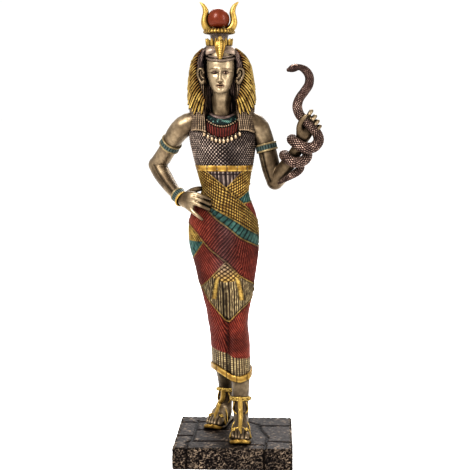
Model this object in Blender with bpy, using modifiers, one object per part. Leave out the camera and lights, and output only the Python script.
"""A painted cold-cast statuette of a horned goddess with a snake wound round one arm, on a paved base.

Run it with blender --background --python part.py. Metres, +Z up, the figure looks towards -Y.
The figure is one casting: closed forms (lofts, swept curves, turned rings) that a Boolean joins.
The base is a second casting, with the joints of its paving cut into it.
"""

import math

import bmesh
import bpy
import numpy as np
from mathutils import Matrix, Vector

MM = 0.001

# The base, and the small gap that keeps the two castings apart.
BASE_WIDTH = 74.0 * MM
BASE_DEPTH = 69.0 * MM
BASE_HEIGHT = 13.8 * MM
BASE_EDGE_ROUND = 1.1 * MM
PAVING_JOINT_WIDTH = 1.0 * MM
PAVING_JOINT_DEPTH = 0.9 * MM
SEAT_GAP = 0.3 * MM

# The figure, from the soles of the sandals to the tips of the horns. Its forms are written in
# units of which DESIGN_HEIGHT make up that height, with x to its left hand and y backwards.
FIGURE_HEIGHT = 272.4 * MM
DESIGN_HEIGHT = 272.4
UNIT = FIGURE_HEIGHT / DESIGN_HEIGHT
SOLE_LEVEL = BASE_HEIGHT + SEAT_GAP

HEAD_X = -8.6
CROWN_X = -9.7
CROWN_Y = 4.6

# Body under the dress: height, centre x, half width, front y, back y, how far its left side leads.
TORSO_ROWS = (
    (38.0, -2.2, 12.7, -9.0, 19.0, 6.5),
    (48.5, -2.6, 12.5, -8.5, 18.5, 6.5),
    (57.0, -2.9, 12.7, -8.8, 18.0, 6.0),
    (67.0, -3.8, 12.6, -9.5, 16.8, 5.5),
    (72.0, -4.4, 12.9, -9.8, 16.2, 5.0),
    (79.0, -4.5, 13.7, -9.8, 16.0, 4.5),
    (85.0, -4.7, 15.1, -9.6, 16.4, 4.0),
    (91.0, -4.8, 16.3, -9.5, 17.0, 3.6),
    (97.0, -5.3, 17.7, -9.4, 18.0, 3.2),
    (103.0, -5.6, 18.9, -9.2, 19.2, 2.8),
    (110.0, -5.9, 20.2, -8.9, 20.6, 2.4),
    (116.0, -6.6, 21.5, -8.6, 21.6, 2.0),
    (121.5, -7.1, 22.1, -8.3, 22.4, 1.8),
    (127.6, -7.3, 22.3, -8.0, 22.6, 1.5),
    (134.0, -7.5, 21.8, -7.8, 22.0, 1.2),
    (140.3, -7.3, 20.6, -7.4, 20.4, 0.9),
    (145.9, -7.0, 18.3, -6.6, 18.2, 0.6),
    (151.1, -6.4, 15.8, -5.6, 16.6, 0.3),
    (156.4, -6.0, 14.6, -4.8, 15.8, 0.0),
    (160.5, -6.2, 15.4, -4.6, 16.0, 0.0),
    (166.5, -6.6, 16.7, -4.8, 17.2, 0.0),
    (172.7, -6.8, 18.2, -5.2, 18.6, 0.0),
    (180.4, -7.2, 19.7, -5.4, 19.8, 0.0),
    (185.0, -7.4, 20.6, -5.0, 20.2, 0.0),
    (192.6, -7.6, 21.3, -3.6, 20.0, 0.0),
    (197.0, -7.8, 21.0, -2.2, 18.8, 0.0),
    (201.0, -8.0, 15.0, -0.6, 16.4, 0.0),
    (204.0, -8.1, 8.4, 0.4, 13.4, 0.0),
)
TORSO_POWER = 2.25
# Flats between the points of a loft cut inside its curve, so each is this much wider.
FLAT_ALLOWANCE = 0.3
BUST_X = 10.2
TORSO_SECTIONS = (
    37.0, 56.0, 70.0, 82.0, 94.0, 106.0, 117.0, 127.0, 137.0, 146.0,
    151.5, 156.4, 165.5, 173.5, 180.5, 187.0, 193.0, 197.5, 201.0, 204.0,
)
# Swellings: x, height, half width, half height, rise, +1 on the front and -1 on the back.
TORSO_SWELLS = (
    (-7.0 - BUST_X, 180.5, 10.5, 9.5, 6.2, 1),
    (-7.0 + BUST_X, 180.5, 10.5, 9.5, 6.2, 1),
    (-6.6, 146.0, 15.0, 17.0, 1.6, 1),
    (-16.0, 128.0, 16.0, 24.0, 2.6, -1),
    (2.0, 128.0, 16.0, 24.0, 2.6, -1),
    (4.0, 70.0, 10.0, 26.0, 2.4, 1),
    (-3.6, 80.0, 4.5, 34.0, -2.4, 1),
    (-7.0, 140.0, 4.0, 26.0, -1.6, -1),
)

# The head: height, half width, front y, back y.
HEAD_ROWS = (
    (215.9, 2.6, -5.9, 0.5),
    (217.2, 4.3, -6.5, 4.0),
    (219.2, 5.7, -6.8, 7.5),
    (221.5, 6.7, -6.9, 10.0),
    (224.0, 7.6, -7.0, 12.0),
    (227.0, 8.4, -6.9, 13.0),
    (230.0, 8.8, -7.1, 13.5),
    (233.5, 8.8, -7.1, 13.6),
    (237.0, 8.6, -6.4, 13.4),
    (240.5, 7.8, -4.8, 12.4),
    (243.5, 6.0, -2.4, 10.5),
    (246.0, 3.4, 0.6, 8.0),
)
EAR = ((10.9, -0.8, 222.6, 1.2), (11.2, -1.2, 225.6, 1.4), (11.6, -1.4, 228.6, 1.8), (11.0, -1.0, 230.6, 1.3))
HEAD_SWELLS = (
    (HEAD_X, 225.0, 1.7, 3.6, 2.5, 1),
    (HEAD_X, 228.6, 1.5, 3.4, 1.1, 1),
    (HEAD_X - 3.7, 228.0, 3.2, 2.3, -1.3, 1),
    (HEAD_X + 3.7, 228.0, 3.2, 2.3, -1.3, 1),
    (HEAD_X, 220.4, 3.6, 1.9, 1.1, 1),
    (HEAD_X, 217.2, 3.0, 1.9, 0.7, 1),
)

# The wig, with the cap's and the wings' bulk in it: height, centre x, half width, front y, back y.
WIG_ROWS = (
    (191.6, -7.2, 21.0, -6.4, 25.6),
    (198.0, -7.6, 20.6, -5.6, 25.2),
    (203.0, -8.2, 20.2, -4.4, 24.4),
    (209.0, -8.4, 20.4, -3.0, 23.6),
    (215.0, -8.5, 20.4, -2.2, 23.0),
    (224.0, -8.9, 19.6, -1.8, 22.4),
    (232.5, -9.0, 18.2, -2.4, 21.0),
    (238.4, -9.3, 15.4, -3.4, 18.6),
    (242.0, -9.4, 12.0, -4.0, 16.0),
    (245.0, -9.5, 8.0, -2.4, 12.6),
)
WIG_POWER = 2.5
FACE_OPENING_HALF = 9.4
FACE_OPENING_BACK = 9.0
FACE_OPENING_TOP = 240.0
LAPPET_EDGE = 20.5
BRAIDS_PER_LAPPET = 4
BRAID_DEPTH = 0.9
FEATHERS_PER_WING = 7
# Where a wing's feathers start and end on the wig: turn from the front, and height.
FEATHER_ROOTS = ((0.44, 240.5), (0.42, 227.0), (0.42, 213.5))
FEATHER_TIPS = ((1.30, 236.5), (1.50, 220.0), (1.25, 206.5), (0.62, 200.5))

# Limbs and other round forms: x, y, height, radius.
RIGHT_UPPER_ARM = (
    (-18.0, 8.0, 200.6, 4.8),
    (-25.0, 8.4, 199.0, 6.2),
    (-31.4, 9.2, 196.2, 6.8),
    (-35.9, 10.8, 192.4, 6.6),
    (-39.6, 13.6, 187.6, 6.0),
    (-43.6, 17.6, 181.0, 5.5),
    (-47.8, 22.0, 174.8, 5.6),
    (-51.4, 25.6, 170.6, 5.4),
)
RIGHT_FOREARM = (
    (-51.6, 25.8, 170.4, 5.6),
    (-48.4, 21.8, 165.4, 5.6),
    (-44.2, 16.4, 160.0, 5.0),
    (-39.6, 10.4, 154.9, 4.2),
    (-34.8, 4.9, 150.8, 3.6),
    (-31.5, 1.2, 148.7, 3.5),
)
LEFT_UPPER_ARM = (
    (2.0, 8.0, 200.6, 4.8),
    (8.6, 8.4, 199.0, 6.2),
    (14.2, 8.6, 195.4, 6.8),
    (17.2, 8.0, 189.6, 6.4),
    (19.7, 7.5, 182.6, 5.9),
    (21.6, 7.0, 175.0, 5.9),
    (23.5, 6.5, 167.2, 5.8),
    (25.3, 6.0, 161.4, 5.3),
)
LEFT_FOREARM = (
    (25.4, 6.0, 161.0, 5.4),
    (29.4, 3.0, 165.8, 5.4),
    (33.4, -0.6, 171.8, 4.8),
    (37.6, -4.2, 179.0, 3.9),
    (41.2, -7.3, 185.6, 3.4),
    (42.8, -8.8, 189.2, 3.4),
)
RIGHT_LEG = (
    (-8.6, 9.0, 54.0, 6.4),
    (-7.6, 12.0, 42.0, 6.0),
    (-6.7, 15.0, 33.0, 5.3),
    (-6.3, 18.6, 23.0, 4.8),
    (-6.8, 21.4, 14.0, 4.4),
    (-6.8, 22.6, 7.0, 4.2),
)
LEFT_LEG = (
    (4.0, -1.0, 52.0, 6.4),
    (4.1, -2.0, 40.0, 6.0),
    (4.1, -3.0, 32.0, 5.7),
    (4.0, -3.6, 23.0, 5.3),
    (4.2, -2.6, 14.0, 4.8),
    (4.5, -1.4, 7.0, 4.6),
)
NECK = (
    (-8.2, 7.6, 200.0, 7.0),
    (-8.4, 6.2, 205.0, 5.4),
    (-8.6, 4.8, 211.0, 5.0),
    (-8.6, 3.6, 218.0, 5.2),
)
# Each palm: x, y, height, half width, half thickness; the width runs along the second vector.
RIGHT_PALM = (
    (-33.0, 3.2, 149.8, 3.6, 2.9),
    (-30.6, 0.4, 149.2, 4.7, 2.5),
    (-28.4, -2.6, 149.2, 5.3, 1.9),
    (-26.2, -4.6, 149.4, 4.9, 1.3),
)
RIGHT_PALM_ACROSS = (-0.1, 0.15, 1.0)
LEFT_PALM = (
    (42.4, -8.4, 188.4, 3.4, 2.8),
    (43.6, -9.2, 191.6, 4.4, 2.5),
    (45.2, -9.2, 196.0, 4.6, 2.0),
    (46.6, -8.6, 199.6, 4.0, 1.5),
)
LEFT_PALM_ACROSS = (0.88, 0.0, -0.47)
RIGHT_FINGERS = (
    (
        (-28.0, -2.2, 153.2, 1.3),
        (-23.6, -5.2, 153.4, 1.4),
        (-19.0, -6.0, 151.9, 1.2),
        (-15.2, -6.1, 150.3, 1.0),
    ),
    (
        (-28.4, -3.3, 150.6, 1.3),
        (-23.6, -6.4, 150.8, 1.5),
        (-18.8, -7.4, 149.0, 1.2),
        (-14.8, -7.2, 147.1, 1.0),
    ),
    (
        (-28.4, -3.7, 147.9, 1.3),
        (-24.0, -7.0, 147.9, 1.4),
        (-19.4, -8.0, 146.0, 1.2),
        (-15.4, -7.9, 144.2, 1.0),
    ),
    (
        (-29.0, -2.4, 145.4, 1.4),
        (-26.2, -5.4, 143.0, 1.4),
        (-22.8, -7.2, 140.4, 1.2),
        (-19.8, -7.8, 138.0, 0.9),
    ),
    (
        (-30.6, 1.6, 151.0, 2.4),
        (-27.4, 1.4, 154.6, 2.1),
        (-23.6, 2.4, 156.2, 1.8),
        (-19.6, 4.2, 156.4, 1.3),
    ),
)
LEFT_FINGERS = (
    (
        (45.0, -8.6, 200.6, 1.3),
        (46.8, -10.2, 204.4, 1.3),
        (47.4, -13.6, 205.0, 1.3),
        (46.3, -15.6, 203.4, 1.1),
    ),
    (
        (47.0, -8.6, 198.8, 1.3),
        (49.2, -10.4, 201.8, 1.3),
        (49.6, -14.0, 201.7, 1.3),
        (48.3, -15.7, 200.0, 1.1),
    ),
    (
        (48.4, -8.8, 196.4, 1.3),
        (50.9, -10.6, 198.8, 1.3),
        (51.2, -14.1, 198.7, 1.3),
        (50.0, -15.6, 197.2, 1.1),
    ),
    (
        (49.2, -8.8, 193.8, 1.2),
        (52.2, -10.6, 195.6, 1.2),
        (52.6, -13.8, 195.7, 1.2),
        (51.6, -15.0, 194.4, 1.0),
    ),
    (
        (41.0, -9.6, 191.0, 2.4),
        (40.2, -12.6, 195.4, 1.9),
        (41.4, -15.0, 199.2, 1.6),
        (44.0, -16.2, 202.2, 1.2),
    ),
)
SNAKE = (
    (27.6, -2.6, 160.2, 0.5),
    (31.0, -4.4, 162.4, 1.2),
    (35.0, -5.4, 164.8, 1.7),
    (39.0, -4.4, 167.4, 2.2),
    (41.2, -0.4, 170.4, 2.4),
    (38.4, 3.6, 173.6, 2.6),
    (33.4, 3.2, 176.8, 2.8),
    (31.0, -2.2, 178.0, 2.9),
    (32.6, -8.2, 176.2, 3.0),
    (37.6, -11.0, 173.8, 3.0),
    (42.6, -9.6, 174.6, 3.0),
    (45.4, -4.6, 178.0, 2.9),
    (43.2, -0.6, 182.4, 2.9),
    (38.4, -1.4, 186.6, 2.9),
    (35.7, -6.8, 187.8, 3.0),
    (38.2, -12.4, 185.6, 3.1),
    (43.6, -14.6, 182.8, 3.1),
    (49.2, -13.6, 183.4, 3.1),
    (52.0, -12.0, 187.4, 3.0),
    (50.6, -12.8, 192.0, 2.8),
    (46.8, -13.2, 196.2, 2.6),
    (42.6, -13.0, 200.0, 2.6),
    (39.9, -12.4, 203.6, 2.7),
    (38.8, -12.0, 208.0, 2.8),
    (40.2, -12.0, 212.8, 2.8),
    (43.2, -12.0, 217.0, 2.8),
    (45.8, -12.0, 221.4, 2.8),
    (45.9, -12.0, 226.0, 2.7),
    (43.1, -12.0, 230.0, 2.4),
    (39.7, -12.0, 231.5, 1.9),
    (36.8, -12.0, 231.1, 2.3),
    (34.4, -12.0, 230.4, 1.7),
    (32.7, -12.0, 229.9, 0.8),
)
HORN = (
    (0.8, 0.0, 254.6, 1.6),
    (4.0, 0.0, 254.8, 2.1),
    (7.4, 0.0, 256.3, 2.5),
    (9.0, 0.0, 259.4, 2.3),
    (8.9, 0.0, 262.6, 2.0),
    (8.3, 0.0, 265.6, 1.9),
    (8.9, 0.0, 268.6, 1.5),
    (10.6, 0.0, 271.0, 0.9),
    (11.7, 0.0, 272.0, 0.4),
)
SUN_RADIUS = 6.9
SUN_HEIGHT = 261.6
# Half section of the crown's ring and stem: radius, height.
CROWN_PROFILE = (
    (0.0, 254.6), (6.6, 254.6), (6.6, 253.6), (5.3, 252.6), (5.0, 246.0), (0.0, 246.0),
)
CROWN_SERPENTS = 10
# The ring of serpents, from its foot over the heads: radius, height, and what each head adds to both.
SERPENT_RING = (
    (6.4, 244.6, 0.0, 0.0),
    (7.2, 245.4, 0.5, 0.0),
    (7.6, 248.6, 0.9, 1.8),
    (5.2, 248.0, 0.4, 1.4),
)
COBRA = (
    (0.0, -6.9, 236.6, 1.4),
    (0.0, -6.9, 240.0, 2.2),
    (0.0, -5.9, 244.0, 3.0),
    (0.0, -4.8, 247.0, 2.4),
    (0.0, -5.4, 249.4, 1.3),
)

# Bands that are turned about a limb: centre, axis, inner radius, outer radius, length.
ARM_BANDS = (
    ((-41.7, 15.7, 184.2), (-0.49, 0.49, -0.72), 4.2, 6.9, 5.2),
    ((19.9, 7.5, 182.4), (0.25, -0.05, -0.96), 4.4, 7.0, 5.2),
    ((-36.8, 7.2, 152.6), (0.62, -0.62, -0.48), 2.6, 5.1, 6.4),
    ((-6.6, 19.0, 22.4), (0.0, 0.3, -0.95), 2.8, 5.1, 1.6),
    ((4.3, -3.5, 21.4), (0.0, 0.1, -0.99), 3.2, 5.7, 1.6),
)

ANKLET_LENGTH = 2.0
SOLE_THICKNESS = 1.6

# A foot in its sandal, from the toes back: distance, half width, height of its top.
FOOT_ROWS = (
    (0.8, 4.4, 3.4),
    (3.0, 5.8, 4.8),
    (6.5, 6.0, 6.8),
    (11.0, 5.4, 10.2),
    (15.0, 5.0, 14.8),
    (18.6, 4.9, 19.4),
    (23.0, 4.8, 18.0),
    (27.0, 4.2, 11.0),
    (29.8, 3.0, 6.0),
)
# Its sole: distance, half width, height of the upper face.
SOLE_ROWS = (
    (-1.0, 1.2, 3.2),
    (-0.2, 3.8, 2.8),
    (1.6, 5.8, 2.0),
    (5.0, 7.0, 1.6),
    (9.5, 6.7, 1.6),
    (17.0, 5.4, 1.6),
    (26.0, 4.7, 1.6),
    (29.5, 4.0, 1.6),
    (31.0, 2.2, 1.6),
)
# The wide strap down the instep and the strap across the toes.
STRAP_ROWS = ((19.4, 21.4, 1.6), (16.4, 16.4, 1.7), (12.6, 12.0, 1.7), (8.8, 8.8, 1.6), (5.4, 6.5, 1.4))
BAR_ROWS = ((-5.6, 3.0), (-3.4, 5.6), (0.0, 6.8), (3.4, 5.6), (5.6, 3.0))
FOOT_LENGTH = 30.0
# Toe end and heel end of each foot, seen from above.
LEFT_FOOT = ((4.4, -27.4), (4.6, 4.0))
RIGHT_FOOT = ((-15.0, 3.8), (-5.6, 31.4))

# The wrapped wings on the dress: their carved edges, as front x and height along each edge.
DRESS_EDGES = (
    ((-19.0, 165.5), (-6.0, 154.6)),
    ((6.0, 165.5), (-6.0, 154.6)),
    ((-6.0, 154.6), (9.0, 142.4)),
    ((-15.6, 146.2), (-5.0, 139.4), (3.0, 134.4), (9.5, 128.4)),
    ((-18.0, 143.4), (-7.2, 131.0), (1.0, 124.4), (8.6, 119.8)),
    ((-27.0, 129.0), (-19.4, 119.4), (-6.4, 109.8), (2.2, 102.0), (9.4, 95.0)),
    ((-6.4, 109.4), (-20.0, 95.2)),
    ((-16.6, 81.0), (-5.4, 76.0), (-3.4, 66.0)),
    ((6.8, 80.6), (-3.4, 71.8)),
)
EDGE_RADIUS = 0.55

# Faces of the union that differ in slope by less than this become one.
SLIVER_DEGREES = 3.5
# Edges bent by more than this stay crisp when shaded.
SHARP_DEGREES = 40


def pchip(keys, values, at):
    """A smooth curve through the values that never overshoots them."""
    keys, values = np.asarray(keys, float), np.asarray(values, float)
    step = np.diff(keys)
    slope = np.diff(values) / step
    tangent = np.empty_like(values)
    tangent[0], tangent[-1] = slope[0], slope[-1]
    flat = slope[:-1] * slope[1:] <= 0
    with np.errstate(divide="ignore", invalid="ignore"):
        mean = 2 * slope[:-1] * slope[1:] / (slope[:-1] + slope[1:])
    tangent[1:-1] = np.where(flat, 0.0, mean)
    at = np.clip(at, keys[0], keys[-1])
    i = np.clip(np.searchsorted(keys, at) - 1, 0, len(step) - 1)
    t = (at - keys[i]) / step[i]
    return (
        values[i] * (1 + 2 * t) * (1 - t) ** 2
        + tangent[i] * step[i] * t * (1 - t) ** 2
        + values[i + 1] * t * t * (3 - 2 * t)
        + tangent[i + 1] * step[i] * t * t * (t - 1)
    )


def smooth_path(controls, steps):
    """Points, with their radii, on one smooth curve through the controls."""
    controls = np.array(controls, float)
    gaps = np.linalg.norm(np.diff(controls[:, :3], axis=0), axis=1)
    along = np.concatenate([[0], np.cumsum(gaps)])
    tangent = np.gradient(controls, along, axis=0)
    at = np.linspace(0, along[-1], steps)
    i = np.clip(np.searchsorted(along, at) - 1, 0, len(gaps) - 1)
    t = ((at - along[i]) / gaps[i])[:, None]
    reach = gaps[i][:, None]
    return (
        controls[i] * (1 + 2 * t) * (1 - t) ** 2
        + tangent[i] * reach * t * (1 - t) ** 2
        + controls[i + 1] * t * t * (3 - 2 * t)
        + tangent[i + 1] * reach * t * t * (t - 1)
    )


def swelling(x, height, facing, swells):
    """How far the swellings push a surface forwards at these places, front and back apart."""
    push = np.zeros_like(x)
    for centre, level, half_width, half_height, rise, side in swells:
        reach = ((x - centre) / half_width) ** 2 + ((height - level) / half_height) ** 2
        dome = np.clip(1 - reach, 0, None) ** 1.5
        push += side * rise * dome * np.clip(side * facing, 0, 1) ** 0.5
    return push


def loft_points(rows, heights, angles, power, swells=()):
    """A grid of points round a body. Angle 0 faces -Y and turns towards +X."""
    table = np.array(rows, float)
    columns = [pchip(table[:, 0], column, heights)[:, None] for column in table[:, 1:].T]
    centre, half, front, back, lead = columns
    half = half + FLAT_ALLOWANCE
    turn_x, turn_y = np.sin(angles)[None, :], np.cos(angles)[None, :]
    across = np.sign(turn_x) * np.abs(turn_x) ** (2 / power)
    ahead = np.sign(turn_y) * np.abs(turn_y) ** (2 / power)
    x = centre + half * across
    y = (front + back) / 2 - (back - front) / 2 * ahead - lead * across
    z = np.broadcast_to(np.asarray(heights, float)[:, None], x.shape)
    y = y - swelling(x, z, np.broadcast_to(ahead, x.shape), swells)
    return np.stack([x, y, z], axis=-1)


def torso_points(heights, angles):
    return loft_points(TORSO_ROWS, heights, angles, TORSO_POWER, TORSO_SWELLS)


def head_points(heights, angles):
    rows = [(h, HEAD_X, half, front, back, 0.0) for h, half, front, back in HEAD_ROWS]
    return loft_points(rows, heights, angles, 2.2, HEAD_SWELLS)


def wig_points(heights, angles, braids=True):
    """The wig: an oval body with a deep opening for the face and neck, and braids down its lappets."""
    rows = [(*row, 0.0) for row in WIG_ROWS]
    points = loft_points(rows, heights, angles, WIG_POWER)
    table = np.array(WIG_ROWS)
    centre = pchip(table[:, 0], table[:, 1], heights)[:, None]
    ahead = np.cos(angles)[None, :]
    if braids:
        lappet_share = (points[..., 0] - centre) / (LAPPET_EDGE - FACE_OPENING_HALF)
        wave = np.abs(np.sin(lappet_share * math.pi * BRAIDS_PER_LAPPET))
        points[..., 1] += np.where(ahead > 0, (1 - wave) * BRAID_DEPTH, 0)
    aside = np.abs(points[..., 0] - centre) / FACE_OPENING_HALF
    inside = np.clip((1.08 - aside) / 0.16, 0, 1) * (ahead > 0)
    below = np.clip((FACE_OPENING_TOP - points[..., 2]) / 4, 0, 1)
    points[..., 1] += inside * below * np.clip(FACE_OPENING_BACK - points[..., 1], 0, None)
    return points


def mesh_object(name, bm, collection):
    """Turns a bmesh in design units into an object of real size, in place."""
    bmesh.ops.recalc_face_normals(bm, faces=bm.faces)
    bmesh.ops.scale(bm, vec=(UNIT,) * 3, verts=bm.verts)
    bmesh.ops.translate(bm, vec=(0, 0, SOLE_LEVEL), verts=bm.verts)
    mesh = bpy.data.meshes.new(name)
    bm.to_mesh(mesh)
    bm.free()
    mesh.shade_smooth()
    mesh.set_sharp_from_angle(angle=math.radians(SHARP_DEGREES))
    made = bpy.data.objects.new(name, mesh)
    collection.objects.link(made)
    return made


def form_from_grid(name, points):
    """A closed body from rings of points, each a loft between unlike sections, with flat ends."""
    bm = bmesh.new()
    rings = [[bm.verts.new(p) for p in ring] for ring in points]
    count = len(rings[0])
    for low, high in zip(rings, rings[1:]):
        for i in range(count):
            j = (i + 1) % count
            bm.faces.new((low[i], low[j], high[j], high[i]))
    bm.faces.new(rings[0][::-1])
    bm.faces.new(rings[-1])
    return mesh_object(name, bm, FORMS)


def rod(name, controls, steps, sides=8):
    """A round form swept along a curve, its radius changing from point to point, with round ends."""
    path = smooth_path(controls, steps)
    start, end = path[0].copy(), path[-1].copy()
    lead_in = (path[0, :3] - path[1, :3]) / np.linalg.norm(path[0, :3] - path[1, :3])
    lead_out = (path[-1, :3] - path[-2, :3]) / np.linalg.norm(path[-1, :3] - path[-2, :3])
    start[:3] += lead_in * start[3] * 0.7
    end[:3] += lead_out * end[3] * 0.7
    start[3] *= 0.55
    end[3] *= 0.55
    curve = bpy.data.curves.new(name, "CURVE")
    curve.dimensions = "3D"
    curve.bevel_depth = UNIT
    curve.bevel_resolution = (sides - 4) // 2
    curve.use_fill_caps = True
    spline = curve.splines.new("POLY")
    points = np.vstack([start, path, end])
    spline.points.add(len(points) - 1)
    for point, (x, y, z, radius) in zip(spline.points, points):
        point.co = (x * UNIT, y * UNIT, z * UNIT + SOLE_LEVEL, 1)
        point.radius = radius
    guide = bpy.data.objects.new(name + "_curve", curve)
    FORMS.objects.link(guide)
    return solid_from_curve(name, guide)


def solid_from_curve(name, guide):
    """The curve's surface as a closed mesh, with its end caps welded on."""
    bpy.context.view_layer.update()
    graph = bpy.context.evaluated_depsgraph_get()
    mesh = bpy.data.meshes.new_from_object(guide.evaluated_get(graph))
    bm = bmesh.new()
    bm.from_mesh(mesh)
    bmesh.ops.remove_doubles(bm, verts=bm.verts, dist=1e-6)
    bmesh.ops.recalc_face_normals(bm, faces=bm.faces)
    bm.to_mesh(mesh)
    bm.free()
    made = bpy.data.objects.new(name, mesh)
    made.matrix_world = guide.matrix_world
    FORMS.objects.link(made)
    bpy.data.objects.remove(guide)
    return made


def flat_limb(name, controls, across, sides=8, steps=5):
    """A palm: an oval section, wide along one direction, swept along a short path."""
    path = smooth_path([c[:4] for c in controls], steps)
    thickness = smooth_path([(*c[:3], c[4]) for c in controls], steps)[:, 3]
    across = Vector(across).normalized()
    rings = []
    for i, (x, y, z, half_width) in enumerate(path):
        ahead = Vector(path[min(i + 1, steps - 1), :3] - path[max(i - 1, 0), :3]).normalized()
        wide = (across - ahead * across.dot(ahead)).normalized()
        thin = ahead.cross(wide)
        ring = []
        for k in range(sides):
            turn = 2 * math.pi * k / sides
            spread = wide * half_width * math.cos(turn) + thin * thickness[i] * math.sin(turn)
            ring.append(Vector((x, y, z)) + spread)
        rings.append(ring)
    return form_from_grid(name, rings)


def torso():
    angles = np.linspace(0, 2 * math.pi, 27)[:-1]
    points = torso_points(np.array(TORSO_SECTIONS), angles)
    hem_drop = 1.6 * np.cos(angles - 0.4)
    points[0, :, 2] -= hem_drop
    return points


def hem_band():
    """The gold band round the hem, lower in front."""
    angles = np.linspace(0, 2 * math.pi, 23)[:-1]
    rings = []
    for height, out in ((36.2, 1.0), (36.0, 1.05), (40.6, 1.05), (41.4, 0.98)):
        ring = torso_points(np.array([height], float), angles)[0]
        middle = np.array([-2.2, 4.5, 0.0])
        ring[:, :2] = middle[:2] + (ring[:, :2] - middle[:2]) * out
        ring[:, 2] -= 1.6 * np.cos(angles - 0.4)
        rings.append(ring)
    form_from_grid("hem_band", rings)


def belt():
    angles = np.linspace(0, 2 * math.pi, 21)[:-1]
    rings = []
    for height, out in ((167.3, 0.98), (167.7, 1.04), (171.3, 1.04), (171.7, 0.98)):
        ring = torso_points(np.array([height], float), angles)[0]
        middle = np.array([-6.6, 6.2])
        ring[:, :2] = middle + (ring[:, :2] - middle) * out
        rings.append(ring)
    form_from_grid("belt", rings)


def angle_at(x, height):
    """The angle round the torso at which its front has this x."""
    table = np.array(TORSO_ROWS)
    centre = pchip(table[:, 0], table[:, 1], height)
    half = pchip(table[:, 0], table[:, 2], height)
    share = np.clip((x - centre) / half, -0.999, 0.999)
    return np.sign(share) * np.arcsin(np.abs(share) ** (TORSO_POWER / 2))


def dress_edges():
    """Raised seams where the wings wrapped round the dress end."""
    for number, edge in enumerate(DRESS_EDGES):
        steps = len(edge) + 1
        line = smooth_path([(x, 0.0, height, EDGE_RADIUS) for x, height in edge], steps)
        controls = []
        for x, _, height, radius in line:
            point = torso_points(np.array([height]), np.array([angle_at(x, height)]))[0, 0]
            controls.append((*point, radius))
        rod(f"dress_edge_{number}", controls, steps, sides=4)


def collar():
    """Three stepped bands lying on the chest, round the front of the neck."""
    turns = np.radians(np.linspace(-48, 48, 11))
    middle_x, middle_height = -7.6, 213.0
    for number, (inner, outer, rise) in enumerate(((13.4, 18.2, 1.5), (17.6, 25.0, 1.0))):
        rings = []
        for reach, lift in ((inner, 0.0), (inner, rise), (outer, rise), (outer, -1.4)):
            ring = []
            for turn in turns:
                x = middle_x + reach * math.sin(turn)
                height = middle_height - reach * math.cos(turn)
                front = torso_points(np.array([height]), np.array([angle_at(x, height)]))[0, 0]
                ring.append((x, front[1] - lift, height))
            rings.append(ring)
        arc_body(f"collar_{number}", rings)


def arc_body(name, rings):
    """A closed body from open arcs: each arc joins the next and the last joins the first."""
    bm = bmesh.new()
    rows = [[bm.verts.new(p) for p in ring] for ring in rings]
    for row, following in zip(rows, rows[1:] + rows[:1]):
        for i in range(len(row) - 1):
            bm.faces.new((row[i], row[i + 1], following[i + 1], following[i]))
    bm.faces.new([row[0] for row in rows])
    bm.faces.new([row[-1] for row in rows][::-1])
    mesh_object(name, bm, FORMS)


def wig():
    half_turn = np.concatenate([[0, 0.5], np.linspace(0.66, 1.5, 9), np.linspace(1.8, math.pi, 6)])
    angles = np.concatenate([half_turn[:-1], half_turn[:0:-1] * -1 + 2 * math.pi])
    heights = np.array([191.6, 200.0, 209.0, 217.0, 225.0, 232.5, 238.4, 242.0, 245.0])
    form_from_grid("wig", wig_points(heights, angles))


def wings():
    """Feathers that fan out from the temples over both sides of the wig."""
    roots = smooth_path([(turn, 0.0, height, 1.2) for turn, height in FEATHER_ROOTS], FEATHERS_PER_WING)
    tips = smooth_path([(turn, 0.0, height, 0.9) for turn, height in FEATHER_TIPS], FEATHERS_PER_WING)
    for side in (-1, 1):
        for k, (root, tip) in enumerate(zip(roots, tips)):
            controls = []
            for share, radius in ((0.0, 1.1), (0.55, 2.0), (1.0, 1.0)):
                turn, _, height, _ = root + (tip - root) * share
                point = wig_points(np.array([height]), np.array([side * turn]), braids=False)[0, 0]
                controls.append((*point, radius))
            rod(f"feather_{side}_{k}", controls, 3, sides=4)


def head():
    half_turn = np.concatenate([np.linspace(0, 0.9, 8), [1.2, 1.6, 2.2, math.pi]])
    angles = np.concatenate([half_turn[:-1], half_turn[:0:-1] * -1 + 2 * math.pi])
    heights = np.array([
        215.9, 217.3, 219.0, 220.4, 221.8, 223.0, 225.2, 227.0, 228.4, 230.2, 234.0, 240.0, 245.4,
    ])
    form_from_grid("head", head_points(heights, angles))
    band_heights = np.array([235.6, 235.9, 238.0, 238.4])
    band_angles = np.linspace(0, 2 * math.pi, 15)[:-1]
    band = head_points(band_heights, band_angles)
    middle = np.array([HEAD_X, 3.4])
    for ring, out in zip(band, (0.99, 1.07, 1.07, 0.99)):
        ring[:, :2] = middle + (ring[:, :2] - middle) * out
    form_from_grid("head_band", band)
    for side in (-1, 1):
        rod(f"ear_{side}", [(HEAD_X + side * x, y, z, r) for x, y, z, r in EAR], 4, sides=4)


def turned(name, profile, steps, place):
    """A solid turned about the Z axis by a Screw modifier, then put in its place."""
    mesh = bpy.data.meshes.new(name + "_profile")
    spots = [(radius * UNIT, 0, height * UNIT) for radius, height in profile]
    mesh.from_pydata(spots, [(i, i + 1) for i in range(len(spots) - 1)], [])
    guide = bpy.data.objects.new(name + "_profile", mesh)
    FORMS.objects.link(guide)
    screw = guide.modifiers.new("Turn", "SCREW")
    screw.steps = screw.render_steps = steps
    screw.use_merge_vertices = True
    screw.merge_threshold = 1e-6
    made = solid_from_curve(name, guide)
    made.matrix_world = place
    return made


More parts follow.
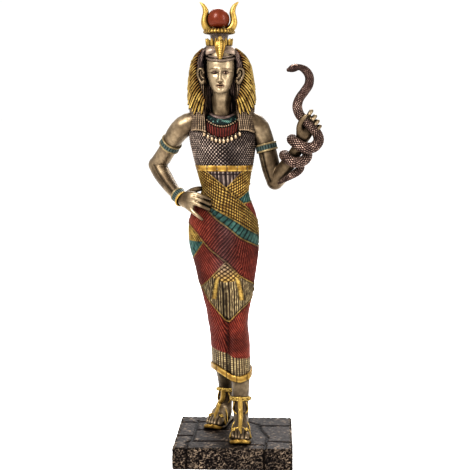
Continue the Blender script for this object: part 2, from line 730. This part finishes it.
def crown():
    """The stem, the ring of serpents, the horns and the sun between them."""
    place = Matrix.Translation((CROWN_X * UNIT, CROWN_Y * UNIT, SOLE_LEVEL))
    turned("crown_stem", CROWN_PROFILE, 14, place)
    points = []
    for radius, height, bulge, rise in SERPENT_RING:
        ring = []
        for k in range(2 * CROWN_SERPENTS):
            turn, peak = math.pi * (k + 0.5) / CROWN_SERPENTS, k % 2
            reach = radius + bulge * peak
            x, y = CROWN_X + reach * math.sin(turn), CROWN_Y - reach * math.cos(turn)
            ring.append((x, y, height + rise * peak))
        points.append(ring)
    form_from_grid("serpents", points)
    for side in (-1, 1):
        rod(f"horn_{side}", [(CROWN_X + side * x, CROWN_Y + y, z, r) for x, y, z, r in HORN], 9, sides=6)
    bm = bmesh.new()
    bmesh.ops.create_uvsphere(bm, u_segments=12, v_segments=8, radius=SUN_RADIUS)
    bmesh.ops.translate(bm, vec=(CROWN_X - 0.4, CROWN_Y - 0.4, SUN_HEIGHT), verts=bm.verts)
    mesh_object("sun", bm, FORMS)
    rod("cobra", [(HEAD_X + x, y, z, r) for x, y, z, r in COBRA], 6, sides=6)


def arm_bands():
    """Bangles: a turned ring with raised rims, put on each limb along its axis."""
    for number, (centre, axis, inner, outer, length) in enumerate(ARM_BANDS):
        half = length / 2
        profile = [(inner, half), (outer, half), (outer, -half), (inner, -half), (inner, half)]
        if length > ANKLET_LENGTH:
            profile[2:2] = [(outer - 0.6, half * 0.55), (outer - 0.6, half * -0.55)]
        place = Matrix.Translation(Vector(centre) * UNIT + Vector((0, 0, SOLE_LEVEL)))
        place @= Vector(axis).normalized().to_track_quat("Z", "Y").to_matrix().to_4x4()
        turned(f"arm_band_{number}", profile, 10, place)


def foot(name, toe, heel):
    """A foot on a sandal with an upturned toe, straps over the instep and the toes."""
    toe, heel = Vector(toe), Vector(heel)
    back = (heel - toe).normalized()
    aside = Vector((-back.y, back.x))
    stretch = (heel - toe).length / FOOT_LENGTH

    def spot(distance, across, height):
        place = toe + back * distance * stretch + aside * across
        return (place.x, place.y, height)

    rings = []
    low = SOLE_THICKNESS - 0.5
    for distance, half, top in FOOT_ROWS:
        ring = []
        for k in range(10):
            turn = 2 * math.pi * k / 10
            rise = math.sin(turn) * (0.7 if math.sin(turn) > 0 else 0.3)
            ring.append(spot(distance, half * math.cos(turn), low + (top - low) * (0.3 + rise)))
        rings.append(ring)
    form_from_grid(name, rings)
    rings = []
    for distance, half, top in SOLE_ROWS:
        corners = ((-half, 0.0), (half, 0.0), (half, top), (-half, top))
        rings.append([spot(distance, across, height) for across, height in corners])
    form_from_grid(name + "_sole", rings)
    strap = [(*spot(distance, 0.0, height), radius) for distance, height, radius in STRAP_ROWS]
    rod(name + "_strap", strap, 5, sides=4)
    bar = [(*spot(8.0, across, height), 0.9) for across, height in BAR_ROWS]
    rod(name + "_bar", bar, 5, sides=4)


def figure():
    """The whole figure: the torso takes every other form by one Boolean union."""
    rod("neck", NECK, 3, sides=8)
    head()
    wig()
    wings()
    crown()
    collar()
    belt()
    hem_band()
    dress_edges()
    rod("right_upper_arm", RIGHT_UPPER_ARM, 8, sides=8)
    rod("right_forearm", RIGHT_FOREARM, 6, sides=8)
    rod("left_upper_arm", LEFT_UPPER_ARM, 8, sides=8)
    rod("left_forearm", LEFT_FOREARM, 6, sides=8)
    flat_limb("right_palm", RIGHT_PALM, RIGHT_PALM_ACROSS)
    flat_limb("left_palm", LEFT_PALM, LEFT_PALM_ACROSS)
    for hand, fingers in (("right", RIGHT_FINGERS), ("left", LEFT_FINGERS)):
        for k, controls in enumerate(fingers):
            rod(f"{hand}_finger_{k}", controls, 4, sides=6)
    rod("snake", SNAKE, 50, sides=6)
    rod("right_leg", RIGHT_LEG, 5, sides=8)
    rod("left_leg", LEFT_LEG, 5, sides=8)
    foot("left_foot", *LEFT_FOOT)
    foot("right_foot", *RIGHT_FOOT)
    arm_bands()
    body = form_from_grid("figure", torso())
    FORMS.objects.unlink(body)
    STATUE.objects.link(body)
    join = body.modifiers.new("Join", "BOOLEAN")
    join.operation = "UNION"
    join.operand_type = "COLLECTION"
    join.collection = FORMS
    tidy = body.modifiers.new("Drop slivers", "DECIMATE")
    tidy.decimate_type = "DISSOLVE"
    tidy.angle_limit = math.radians(SLIVER_DEGREES)
    body.data.materials.append(material("bronze_casting", (0.33, 0.22, 0.13), 0.42, 0.75))
    return body


# Paving joints on the base: across and along as shares of its half width and half depth.
PAVING_JOINTS = (
    ((-0.76, -1.1), (-0.78, -0.62), (-0.70, -0.52), (-0.68, 0.72)),
    ((-1.1, 0.62), (-0.68, 0.62)),
    ((-1.1, -0.28), (-0.70, -0.22)),
    ((-0.68, 0.62), (0.0, 0.80)),
    ((-0.68, 0.12), (-0.1, 0.18)),
    ((-0.72, -0.56), (0.0, -0.55)),
    ((0.52, -1.1), (0.56, -0.55), (0.58, -0.30), (0.46, 0.14), (0.40, 0.52), (0.22, 0.66), (0.18, 1.1)),
    ((0.44, 0.42), (1.1, 0.44)),
    ((0.60, -0.52), (1.1, -0.58)),
    ((0.30, -0.74), (0.54, -0.76)),
)


def groove(number, start, end, low, high):
    """A bar that cuts one straight stretch of a joint, from one level to another."""
    bm = bmesh.new()
    bmesh.ops.create_cube(bm, size=1.0)
    start, end = Vector(start), Vector(end)
    along = end - start
    length = along.length + PAVING_JOINT_WIDTH * 0.7
    bmesh.ops.scale(bm, vec=(length, PAVING_JOINT_WIDTH, high - low), verts=bm.verts)
    mesh = bpy.data.meshes.new(f"groove_{number}")
    bm.to_mesh(mesh)
    bm.free()
    cutter = bpy.data.objects.new(f"groove_{number}", mesh)
    middle = (start + end) / 2
    cutter.location = (middle.x, middle.y, (low + high) / 2)
    cutter.rotation_euler = (0, 0, math.atan2(along.y, along.x))
    cutter.hide_render = True
    cutter.display_type = "WIRE"
    GROOVES.objects.link(cutter)


def base():
    """A thick slab with rounded edges, its paving marked out by cut joints."""
    bm = bmesh.new()
    bmesh.ops.create_cube(bm, size=1.0)
    bmesh.ops.scale(bm, vec=(BASE_WIDTH, BASE_DEPTH, BASE_HEIGHT), verts=bm.verts)
    bmesh.ops.translate(bm, vec=(0, 0, BASE_HEIGHT / 2), verts=bm.verts)
    mesh = bpy.data.meshes.new("base")
    bm.to_mesh(mesh)
    bm.free()
    slab = bpy.data.objects.new("base", mesh)
    STATUE.objects.link(slab)
    rounding = slab.modifiers.new("Worn edges", "BEVEL")
    rounding.width = BASE_EDGE_ROUND
    rounding.segments = 1
    number = 0
    bottom, top = -BASE_HEIGHT * 0.2, BASE_HEIGHT * 1.2
    for joint in PAVING_JOINTS:
        spots = [(x * BASE_WIDTH / 2, y * BASE_DEPTH / 2) for x, y in joint]
        for start, end in zip(spots, spots[1:]):
            groove(number, start, end, BASE_HEIGHT - PAVING_JOINT_DEPTH, top)
            number += 1
    for share, side in ((-0.76, -1), (0.52, -1), (0.18, 1), (-0.4, 1)):
        front = side * BASE_DEPTH / 2
        x = share * BASE_WIDTH / 2
        groove(number, (x, front - side * PAVING_JOINT_DEPTH), (x, front * 1.1), bottom, top)
        number += 1
    for share, side in ((0.62, -1), (-0.28, -1), (0.44, 1), (-0.58, 1)):
        edge = side * BASE_WIDTH / 2
        y = share * BASE_DEPTH / 2
        groove(number, (edge - side * PAVING_JOINT_DEPTH, y), (edge * 1.1, y), bottom, top)
        number += 1
    cut = slab.modifiers.new("Cut joints", "BOOLEAN")
    cut.operation = "DIFFERENCE"
    cut.operand_type = "COLLECTION"
    cut.collection = GROOVES
    slab.data.materials.append(material("stone_casting", (0.13, 0.105, 0.095), 0.6, 0.35))
    return slab


def material(name, colour, roughness, metallic):
    made = bpy.data.materials.new(name)
    made.use_nodes = True
    shader = made.node_tree.nodes["Principled BSDF"]
    shader.inputs["Base Color"].default_value = (*colour, 1)
    shader.inputs["Roughness"].default_value = roughness
    shader.inputs["Metallic"].default_value = metallic
    made.diffuse_color = (*colour, 1)
    return made


def collection(name, helper=False):
    made = bpy.data.collections.new(name)
    bpy.context.scene.collection.children.link(made)
    made.hide_render = helper
    return made


for old in list(bpy.data.objects):
    bpy.data.objects.remove(old)
STATUE = collection("horned_goddess_statuette")
FORMS = collection("figure_forms", helper=True)
GROOVES = collection("paving_grooves", helper=True)
figure()
base()
